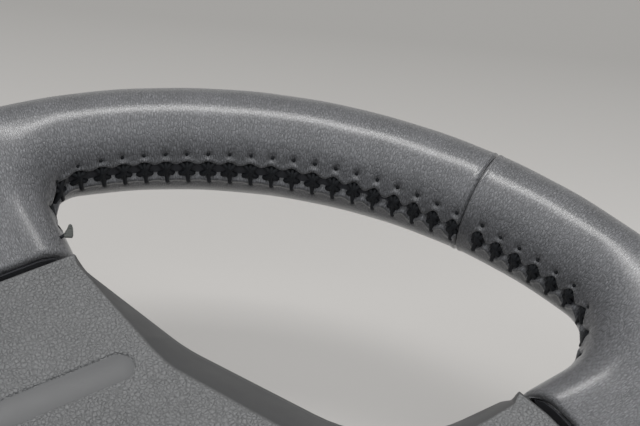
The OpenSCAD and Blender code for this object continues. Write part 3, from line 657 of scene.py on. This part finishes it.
def woven(name, base, rough, thread_mm):
    """Coarse plain weave for the folded cushion."""
    mat, tree, bsdf = shader(name, base, rough, 0.2)
    place = place_coords(tree)
    waves = []
    for axis in ("X", "Y"):
        wave = add(
            tree, "ShaderNodeTexWave", [("Vector", place)], wave_type="BANDS",
            bands_direction=axis, Scale=1000 / thread_mm / 6.28, Distortion=0.4,
        )
        waves.append((len(waves), wave.outputs["Fac"]))
    height = add(tree, "ShaderNodeMath", waves, operation="MULTIPLY").outputs[0]
    raise_surface(tree, bsdf, height, 0.1)
    colour = ramp(tree, height, [(0.0, tinted(base, 0.75)), (0.6, base)])
    tree.links.new(colour, bsdf.inputs["Base Color"])
    return mat


def thread_material(name, base):
    """Twisted waxed thread."""
    mat, tree, bsdf = shader(name, base, 0.55, 0.35)
    fibres = noise(tree, place_coords(tree), 1800.0, 3.0)["Fac"]
    colour = ramp(tree, fibres, [(0.3, tinted(base, 0.6)), (0.7, tinted(base, 1.5))])
    tree.links.new(colour, bsdf.inputs["Base Color"])
    raise_surface(tree, bsdf, fibres, 0.12)
    return mat


LEATHER_SQUEEZE = 2.6
# Near black for the laced trough: its dark backing, with painted shade over it
TROUGH_SHADE_COLOUR = (0.004, 0.0045, 0.005)
LEATHER = grained(
    "leather", (0.113, 0.1125, 0.116), tint=(1.1, 1.1, 1.11), rough=0.42, cell_mm=1.7, bump_mm=0.2,
    wrinkle=1.5, valley=0.3, crest=1.5, leather=True,
)
THREAD = thread_material("thread", (0.011, 0.012, 0.014))
# The pad's bevel colour is painted shade: a darker base on its smooth edge for the shade and dark
# reflection there
PAD = grained(
    "cover_plastic", (0.15, 0.15, 0.149), tint=(1.06, 1.06, 1.06), rough=0.5, cell_mm=1.1,
    bump_mm=0.2, wrinkle=2.4, valley=0.6, crest=1.35, bevel_shade=(0.054, 0.054, 0.054),
)
RECESS = mottled("cover_recess", (0.101, 0.101, 0.101), 0.5, scale=80, bump_mm=0.02)
REAR = grained(
    "rear_plastic", (0.055, 0.057, 0.06), tint=(1.1, 1.1, 1.1), rough=0.55, cell_mm=0.9,
    bump_mm=0.08,
)
TAG = grained(
    "tag_leather", (0.1, 0.105, 0.095), tint=(1.1, 1.1, 1.1), rough=0.6, cell_mm=0.7, bump_mm=0.08
)

# Each material's name, colour, roughness, metal, scale and bump in millimetres, then its spread
# of colour and its stretch where they differ
MOTTLED = {
    "rim_foam": ("foam", (0.05, 0.05, 0.055), 0.85, 0, 300, 0.25),
    "armature": ("cast_alloy", (0.5, 0.5, 0.5), 0.5, 0.9, 120, 0.12),
    "hub_insert": ("hub_steel", (0.3, 0.3, 0.31), 0.35, 1.0, 90, 0.03),
    "rear_cover_screws": ("zinc_steel", (0.5, 0.5, 0.48), 0.3, 1.0, 200, 0.02),
    "guide_bushes": ("white_plastic", (0.75, 0.74, 0.7), 0.45, 0, 80, 0.02, 0.03),
    "horn_springs": ("spring_steel", (0.45, 0.45, 0.46), 0.28, 1.0, 300, 0.02),
    "contact_carrier": ("black_plastic", (0.02, 0.02, 0.02), 0.4, 0, 100, 0.02),
    "fixed_contact": ("contact_brass", (0.62, 0.45, 0.18), 0.25, 1.0, 150, 0.02),
    "airbag_can": ("can_steel", (0.04, 0.04, 0.045), 0.45, 0.2, 90, 0.05),
    "gas_generator": (
        "generator_steel", (0.42, 0.42, 0.43), 0.3, 1.0, 60, 0.03, 0.1, (1, 1, 8),
    ),
}
CAD_MATERIALS = {node_name: mottled(*values) for node_name, values in MOTTLED.items()}
CAD_MATERIALS["rear_cover"] = REAR
CAD_MATERIALS["airbag_cushion"] = woven("cushion_fabric", (0.7, 0.7, 0.66), 0.85, 0.5)
SAME = {
    "guide_bolts": "rear_cover_screws",
    "cushion_retainer": "rear_cover_screws",
    "generator_nuts": "rear_cover_screws",
    "moving_contact": "fixed_contact",
}
for node_name, twin in SAME.items():
    CAD_MATERIALS[node_name] = CAD_MATERIALS[twin]
for node_name, material in CAD_MATERIALS.items():
    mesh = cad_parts[node_name].data
    mesh.materials.clear()
    mesh.materials.append(material)


# Leather panels
def leather_panel(name, parts, mirror=False):
    panel = Panel()
    for part in parts:
        panel.strip(*part)
    verts, faces, dark = merge_panel(panel, mirror)
    obj = mesh_object(name + "_skin", verts, faces, LEATHER, "wheel", dark)
    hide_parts(name)


# Each run has its strip, the spoke's direction and side, the stitches and their tightness
low_left_run = (left_low, math.pi, 1, LEFT_STITCHES, full_tight)
up_left_run = (left_up, math.pi, -1, UPPER_STITCHES, even_tight)
bottom_run = (bottom_strip, 3 * QUARTER, -1, BOTTOM_STITCHES, photo_tight)
bottom_twin = (bottom_strip, 3 * QUARTER, 1, BOTTOM_STITCHES, photo_tight)
top_run = (top_strip, 0.0, 1, TOP_STITCHES, even_tight)
leather_panel("leather_left", [low_left_run, up_left_run])
leather_panel("leather_right", [low_left_run, up_left_run], mirror=True)
leather_panel("leather_bottom", [bottom_run, bottom_twin])
leather_panel("leather_top", [top_run])


# Lacing
TUBE_SIDES = 7
STRAND_STEPS = 4
MIRROR = np.array([-1, 1, 1])


def tube(path, radius):
    """Closed tube round a path of points, with rounded ends, as vertices and faces."""
    path = np.asarray(path, float)
    tangents = np.gradient(path, axis=0)
    tangents /= np.linalg.norm(tangents, axis=1, keepdims=True)
    up = np.cross(tangents[0], (0.31, 0.52, 0.79))
    verts = []
    n = len(path)
    for i in range(n):
        up = up - tangents[i] * np.dot(up, tangents[i])
        up /= np.linalg.norm(up)
        across = np.cross(tangents[i], up)
        r = radius * (0.55 if i in (0, n - 1) else 1.0)
        for k in range(TUBE_SIDES):
            a = 2 * math.pi * k / TUBE_SIDES
            verts.append(path[i] + r * (math.cos(a) * up + math.sin(a) * across))
    faces = ring_faces(0, TUBE_SIDES, n)
    faces.append(list(range(TUBE_SIDES))[::-1])
    faces.append([(n - 1) * TUBE_SIDES + k for k in range(TUBE_SIDES)])
    return verts, faces


def ring_faces(base, n, rows):
    """Quads between rows of a closed ring, from low to high, seen from outside."""
    faces = []
    for k in range(rows - 1):
        for i in range(n):
            j = (i + 1) % n
            a = base + k * n
            faces.append([a + i, a + j, a + n + j, a + n + i])
    return faces


def curve_through(knots):
    """Smooth run of points through knots."""
    k = np.asarray(knots, float)
    k = np.concatenate([2 * k[:1] - k[1:2], k, 2 * k[-1:] - k[-2:-1]])
    out = []
    for i in range(1, len(k) - 2):
        for t in np.linspace(0, 1, STRAND_STEPS, endpoint=False):
            out.append(
                0.5 * (2 * k[i] + (k[i + 1] - k[i - 1]) * t
                       + (2 * k[i - 1] - 5 * k[i] + 4 * k[i + 1] - k[i + 2]) * t ** 2
                       + (3 * k[i] - k[i - 1] - 3 * k[i + 1] + k[i + 2]) * t ** 3)
            )
    out.append(k[-2])
    return out


def stitch_strands(tight, rise, jig):
    """Strands of one stitch, as (radius, knots).

    A knot is an arc offset, a section place and a height over the leather.
    """
    w_up, w_low = trough_widths(1.0, tight)
    mid, up, low = S_MID + rise / 2, S_UP + rise, S_LOW + rise / 2
    hi, lo = mid + w_up, mid - w_low
    half = 2.5 - 0.7 * tight
    return [
        (0.5, [(0, up, -1.4), (0.02, up, -0.9), (0, up - 0.1, -0.45)]),
        (0.85, [
            (-half, hi - 0.5, -1.7), (-0.9, mid + 1.2, -1.0),
            (0.9 + jig, mid - 1.1, -0.85), (half, lo + 0.4, -1.6),
        ]),
        (0.85, [
            (half, hi - 0.5, -1.7), (0.9, mid + 1.2, -0.75),
            (-0.8 + jig, mid - 1.2, -0.6), (-half, lo + 0.4, -1.5),
        ]),
        (0.7, [
            (0.15, hi - 0.3, -1.5), (0.1, mid + 0.8, -0.5), (0.25, lo + 0.3, -0.25),
            (0.4, low + 1.0, 0.05), (0.45, low, -0.6),
        ]),
    ]


def lacing(name, runs, mirror_too=False):
    """All stitches of one opening's runs, and of their mirror image where asked."""
    rng = random.Random(name)
    verts, faces = [], []
    for strip, theta, side, stitches, tight in runs:
        for a in stitches:
            jig = rng.uniform(-0.25, 0.25)
            t = float(tight(np.array(a)))
            for radius, knots in stitch_strands(t, float(strip.rise(a)), jig):
                points = [strip.at(a + k[0], k[1], k[2]) for k in knots]
                path = to_wheel(np.array(curve_through(points)), theta, side)
                v, f = tube(path, radius)
                base = len(verts)
                flip = side < 0
                verts += v
                faces += [[base + q for q in (g[::-1] if flip else g)] for g in f]
    verts = np.array(verts)
    if mirror_too:
        n = len(verts)
        verts = np.concatenate([verts, verts * MIRROR])
        faces += [[n + q for q in f[::-1]] for f in faces]
    return verts, faces


up_verts, up_faces = lacing("upper", [up_left_run], True)
top_verts, top_faces = lacing("top", [top_run])
all_verts = np.concatenate([up_verts, top_verts])
all_faces = up_faces + [[v + len(up_verts) for v in f] for f in top_faces]
piece = mesh_object("lacing_upper_thread", all_verts, all_faces, THREAD, "wheel")
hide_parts("lacing_upper")
low_verts, low_faces = lacing("lower", [bottom_run, low_left_run])
piece = mesh_object("lacing_lower_left_thread", low_verts, low_faces, THREAD, "wheel")
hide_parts("lacing_lower_left")
piece = mesh_object(
    "lacing_lower_right_thread", low_verts * MIRROR, [f[::-1] for f in low_faces],
    THREAD, "wheel",
)
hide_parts("lacing_lower_right")


# Air bag cover
ARC_STEPS, SLOT_STEPS = 12, 10
# Width of its bevel by the distance from the end of a spoke, which is widest between the spokes
BEVEL_BY_BOTTOM = (
    (0, 1, 3, 12, 22, 31, 38, 45, 51, 58), (4.2, 5.6, 6.6, 7, 8.2, 11, 13, 15, 16.3, 17),
)
BEVEL_BY_SIDE = ((0, 1.5, 3, 15, 30, 55), (4.6, 6.6, 8.6, 9.4, 11, 17))
BEVEL_POWER = ((0, 1, 3), (2.0, 1.7, 1.12))
BEVEL_SHARES = [0, 0.1, 0.2, 0.3, 0.4, 0.5, 0.6, 0.7, 0.78, 0.85, 0.9, 0.94, 0.97, 1]
# Insets and heights of the skirt's small edge, of the recess's lip and of the inside
SKIRT_EDGE = [(0.6, COVER_SKIRT), (0.12, COVER_SKIRT + 0.25)]
SKIRT_H = 1
RECESS_LIP = [(0.45, 0.0), (0.2, -0.06), (0.0, -0.2), (-0.12, -0.4), (-0.35, -0.5)]
COVER_INSIDE = [
    (3, COVER_SKIRT), (3, COVER_SKIRT + 5), (6.5, 67.0), (13, 70.5), (17, 70.5),
]
COVER_WALL = 2.2


def hub_corners():
    """Corners of the hub's outline, counter-clockwise, as (x, y, radius)."""
    low, high = math.asin(SIDE_LOW / PAD_R), math.asin(SIDE_HIGH / PAD_R)
    mid, mid_r = (high - low) / 2, PAD_R * (1 + 1 / math.cos((high + low) / 2)) / 2
    right = [
        (BOTTOM_HALF, -PAD_Y, 5), (BOTTOM_HALF + 15, -0.69 * PAD_Y, 60), (80, -SIDE_LOW, 42),
        (PAD_R * math.cos(low), -SIDE_LOW, 5), (*on_circle(mid_r, mid), PAD_R * 0.6),
        (PAD_R * math.cos(high), SIDE_HIGH, 5), (92, SIDE_HIGH + 4, 50), (60, 42, 60),
    ]
    return right + [(0, 48, 120)] + [(-x, y, r) for x, y, r in right[::-1]]


def round_path(corners, inset):
    """The hub's outline with rounded corners, moved inwards by inset."""
    out, n = [], len(corners)
    for i, q in enumerate(corners):
        p, s = corners[i - 1], corners[(i + 1) % n]
        u = np.array([q[0] - p[0], q[1] - p[1]])
        v = np.array([s[0] - q[0], s[1] - q[1]])
        u, v = u / np.linalg.norm(u), v / np.linalg.norm(v)
        nu, nv = np.array([-u[1], u[0]]), np.array([-v[1], v[0]])
        turn = math.atan2(u[0] * v[1] - u[1] * v[0], u @ v)
        way = 1 if turn >= 0 else -1
        at = np.array(q[:2]) + inset * (nu + nv) / (1 + nu @ nv)
        r = max(q[2] - inset, 1.5) if way > 0 else q[2] + inset
        c = at - u * r * math.tan(abs(turn) / 2) + nu * way * r
        for k in range(ARC_STEPS + 1):
            a = turn * k / ARC_STEPS
            spin = np.array([[math.cos(a), -math.sin(a)], [math.sin(a), math.cos(a)]])
            out.append(c - way * r * (spin @ nu))
    return np.array(out)


def slot_path(grow):
    """The recess's outline, grown to all sides, counter-clockwise."""
    half_w, half_h = RECESS_HALF + grow, RECESS_R + grow
    pts = []
    for sx, start in ((1, -90), (-1, 90)):
        for k in range(SLOT_STEPS + 1):
            x, y = on_circle(half_h, math.radians(start + 180 * k / SLOT_STEPS))
            pts.append((sx * (half_w - half_h) + x, y - RECESS_Y))
    return pts


def bevel_widths(outline):
    """Width of the cover's smooth bevel at each point of its outline, and how round it is."""
    x, y = np.abs(outline[:, 0]), outline[:, 1]
    to_bottom = np.hypot(np.maximum(x - BOTTOM_HALF, 0), y + PAD_Y)
    to_side = np.maximum(PAD_R - 2.5 - x, 0)
    width = np.minimum(np.interp(to_bottom, *BEVEL_BY_BOTTOM), np.interp(to_side, *BEVEL_BY_SIDE))
    return width, np.interp(np.minimum(to_bottom, to_side), *BEVEL_POWER)


def cover_piece():
    """The cover's skin: smooth bevel, flat grained face with a bare recess, and its inside."""
    corners = hub_corners()
    face_z = COVER_TOP + COVER_CROWN
    insets = np.arange(0, 17.5, 0.5)
    table = np.stack([round_path(corners, t) for t in insets])
    n = table.shape[1]
    width, power = bevel_widths(table[0])

    def bevel_z(inset):
        low = COVER_SKIRT + SKIRT_H
        return low + (face_z - low) * (1 - np.maximum(1 - inset / width, 0) ** power)

    verts, grain = [], []
    for inset, z in SKIRT_EDGE:
        verts += [(x, y, z) for x, y in round_path(corners, inset)]
        grain += [0.0] * n
    for share in BEVEL_SHARES:
        heights = bevel_z(share * width)
        for i in range(n):
            x, y = (np.interp(share * width[i], insets, table[:, i, c]) for c in (0, 1))
            verts.append((x, y, heights[i]))
            grain.append(share)
    rows = len(SKIRT_EDGE) + len(BEVEL_SHARES)
    faces = ring_faces(0, n, rows)
    outer_edge = [(rows - 1) * n + i for i in range(n)]
    m, base = len(slot_path(0)), len(verts)
    for grow, drop in RECESS_LIP:
        verts += [(x, y, face_z + drop) for x, y in slot_path(grow)]
    grain += [1.0] * (len(verts) - len(grain))
    faces += ring_faces(base, m, len(RECESS_LIP))
    faces.append([len(verts) - m + i for i in range(m)])
    floor_at = len(faces) - 1
    # The face between the bevel and the recess
    faces += bridge_face(verts, outer_edge, [base + i for i in range(m)])
    # Inside
    base = len(verts)
    for inset, z in COVER_INSIDE:
        heights = np.maximum(np.minimum(z, bevel_z(inset) - COVER_WALL), COVER_SKIRT)
        verts += [(x, y, h) for (x, y), h in zip(round_path(corners, inset), heights)]
    faces += [f[::-1] for f in ring_faces(base, n, len(COVER_INSIDE))]
    faces.append([len(verts) - n + i for i in range(n)][::-1])
    for i in range(n):
        j = (i + 1) % n
        faces.append([i, base + i, base + j, j])
    grain += [0.0] * (len(verts) - len(grain))
    return verts, faces, floor_at, grain


def bridge_face(verts, outer, hole):
    """Triangles of a flat face with one hole."""
    order = outer + hole[::-1]
    flat = [[Vector((verts[v][0], verts[v][1], 0)) for v in ring] for ring in (outer, hole[::-1])]
    out = []
    for tri in tessellate_polygon(flat):
        a, b, c = (order[i] for i in tri)
        pa, pb, pc = (np.array(verts[v][:2]) for v in (a, b, c))
        area = (pb[0] - pa[0]) * (pc[1] - pa[1]) - (pb[1] - pa[1]) * (pc[0] - pa[0])
        out.append([a, b, c] if area > 0 else [a, c, b])
    return out


cover_verts, cover_faces, floor_at, cover_grain = cover_piece()
cover = mesh_object(
    "cover_skin", cover_verts, cover_faces, [PAD, RECESS], "horn_module",
    cover_grain,
)
cover.data.polygons[floor_at].material_index = 1
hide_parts("airbag_cover")


# Horn springs as a mesh of their own, copied from the CAD part; the real springs shorten as the
# module goes down on them
spring_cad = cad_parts["horn_springs"]
spring_verts = [spring_cad.matrix_world @ v.co / MM for v in spring_cad.data.vertices]
spring_faces = [list(f.vertices) for f in spring_cad.data.polygons]
coils = mesh_object(
    "horn_spring_coils", spring_verts, spring_faces, CAD_MATERIALS["horn_springs"],
    "wheel",
)
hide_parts("horn_springs")
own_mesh(coils)


# The camera's place in millimetres, its direction and its axes
CAM_AT = np.array([48.2, 118.3, 326.7 + RIM_Z])
CAM_DIR = Vector((-0.352, -0.536, -0.767)).normalized()
FOCAL_PIXELS, WIDTH_PIXELS, SENSOR = 1400.0, 640.0, 36.0
ROLL = math.radians(5.48)
flat_right = Vector((-0.8362, 0.5484, 0)).normalized()
flat_up = flat_right.cross(CAM_DIR)
CAM_RIGHT = math.cos(ROLL) * flat_right + math.sin(ROLL) * flat_up
CAM_UP = -math.sin(ROLL) * flat_right + math.cos(ROLL) * flat_up


# Loose tag at the end of the lacing, laid out in the camera's axes
TAG_OUTLINE = [
    (-0.95, -1.45), (0.9, -1.5), (1.15, -0.9), (1.05, 0.9), (0.75, 1.85), (0.35, 2.1),
    (-0.05, 1.9), (-0.45, 0.9), (-1.2, -0.3), (-1.35, -1.1),
]
TAG_LAYERS = ((-0.35, 0.8), (-0.2, 1.0), (0.2, 1.0), (0.35, 0.8))
TAG_AT, TAG_SIZE, TAG_BEND = (2.4, 1.6), 1.15, 0.25
STEM = (
    (-0.9, -0.3, 0.9), (-0.3, 0.0, 0.2), (0.5, 0.35, -0.1), (1.3, 0.9, 0.0), (1.9, 1.3, 0.0),
)


def tag_piece(root):
    """Small flat paddle of leather on a thread stem, standing out from the root's edge."""
    right, up, away = (np.array(tuple(v)) for v in (CAM_RIGHT, CAM_UP, CAM_DIR))
    middle = root + TAG_AT[0] * right + TAG_AT[1] * up
    verts = []
    for t, grow in TAG_LAYERS:
        for x, y in TAG_OUTLINE:
            size = TAG_SIZE * grow
            bend = TAG_BEND * math.sin(y)
            verts.append(middle + size * x * right + size * y * up + (t + bend) * away)
    n, layers = len(TAG_OUTLINE), len(TAG_LAYERS)
    faces = [[a, d, c, b] for a, b, c, d in ring_faces(0, n, layers)]
    faces.append(list(range(n)))
    faces.append([(layers - 1) * n + i for i in range(n)][::-1])
    return verts, faces


tag_root = to_wheel(bottom_strip.at(6.8, 8.2), 3 * QUARTER, -1)
tag_verts, tag_faces = tag_piece(tag_root)
mesh_object("lacing_tag", tag_verts, tag_faces, TAG, "wheel", smooth_shade=False)
stem_path = [tag_root + np.array(x * CAM_RIGHT + y * CAM_UP + z * CAM_DIR) for x, y, z in STEM]
stem_verts, stem_faces = tube(curve_through(stem_path), 0.5)
mesh_object("lacing_tag_stem", stem_verts, stem_faces, THREAD, "wheel")

# Camera
camera_data = bpy.data.cameras.new("camera")
camera_data.sensor_width = SENSOR
camera_data.lens = FOCAL_PIXELS * SENSOR / WIDTH_PIXELS
camera_data.clip_start = 0.02
camera = bpy.data.objects.new("camera", camera_data)
bpy.context.scene.collection.objects.link(camera)
turn = Matrix((CAM_RIGHT, CAM_UP, -CAM_DIR)).transposed().to_4x4()
camera.matrix_world = Matrix.Translation(Vector(CAM_AT * MM)) @ turn
bpy.context.scene.camera = camera

# Floor, which is darker past a line behind the wheel
FLOOR_HALF = 4.0
FLOOR_AWAY = (-0.55, -0.84, 0)
FLOOR_TONES = [(0.17, (0.565, 0.548, 0.527)), (0.3, (0.33, 0.32, 0.306))]
FLOOR_GLOW = 0.55
floor_mesh = bpy.data.meshes.new("floor")
corners = ((-1, -1), (1, -1), (1, 1), (-1, 1))
floor_verts = [(FLOOR_HALF * x, FLOOR_HALF * y, 0) for x, y in corners]
floor_mesh.from_pydata(floor_verts, [], [(0, 1, 2, 3)])
floor = bpy.data.objects.new("floor", floor_mesh)
bpy.context.scene.collection.objects.link(floor)


def floor_material():
    """Plain pale floor, darker towards the back, whose shadows are softened for the camera."""
    mat, tree, bsdf = shader("floor_plain", (0.5, 0.5, 0.48), 0.55)
    links = [(0, place_coords(tree))]
    away = add(tree, "ShaderNodeVectorMath", links, operation="DOT_PRODUCT")
    away.inputs[1].default_value = FLOOR_AWAY
    tone = ramp(tree, away.outputs["Value"], FLOOR_TONES)
    tree.links.new(tone, bsdf.inputs["Base Color"])
    glow = add(tree, "ShaderNodeEmission", [("Color", tone)], Strength=1.0)
    seen = add(tree, "ShaderNodeLightPath").outputs["Is Camera Ray"]
    links = [(0, times(tree, seen, FLOOR_GLOW)), (1, bsdf.outputs[0]), (2, glow.outputs[0])]
    mixed = add(tree, "ShaderNodeMixShader", links)
    tree.links.new(mixed.outputs[0], tree.nodes["Material Output"].inputs["Surface"])
    return mat


floor_mesh.materials.append(floor_material())


# Light: a long soft lamp above the rim's far side, a wide one behind the camera
def area_lamp(name, at, target, size, watts, colour):
    data = bpy.data.lights.new(name, "AREA")
    data.shape = "RECTANGLE"
    data.size, data.size_y = size
    data.energy = watts
    data.color = colour
    lamp = bpy.data.objects.new(name, data)
    lamp.location = at
    lamp.rotation_euler = (Vector(target) - Vector(at)).to_track_quat("-Z", "Y").to_euler()
    bpy.context.scene.collection.objects.link(lamp)


area_lamp(
    "lamp_far", at=(-0.58, -0.84, 1.55), target=(-0.11, -0.12, 0.08), size=(1.2, 0.36),
    watts=16.5, colour=(1.0, 0.99, 0.975),
)
area_lamp(
    "lamp_near", at=(0.3, 0.4, 2.5), target=(0, 0, 0.05), size=(2, 2),
    watts=8, colour=(0.97, 0.985, 1.0),
)

# Plain sky, dimmer towards the horizon
world = bpy.data.worlds.new("world")
bpy.context.scene.world = world
world.use_nodes = True
sky = world.node_tree
toward = add(sky, "ShaderNodeTexCoord").outputs["Generated"]
height = add(sky, "ShaderNodeSeparateXYZ", [("Vector", toward)]).outputs["Z"]
dome = ramp(sky, height, [(0.0, (0.15, 0.155, 0.16)), (1.0, (0.93, 0.96, 1.0))])
sky.links.new(dome, sky.nodes["Background"].inputs["Color"])
sky.nodes["Background"].inputs["Strength"].default_value = 0.86
bpy.context.scene.view_settings.view_transform = "Standard"

bpy.context.view_layer.update()
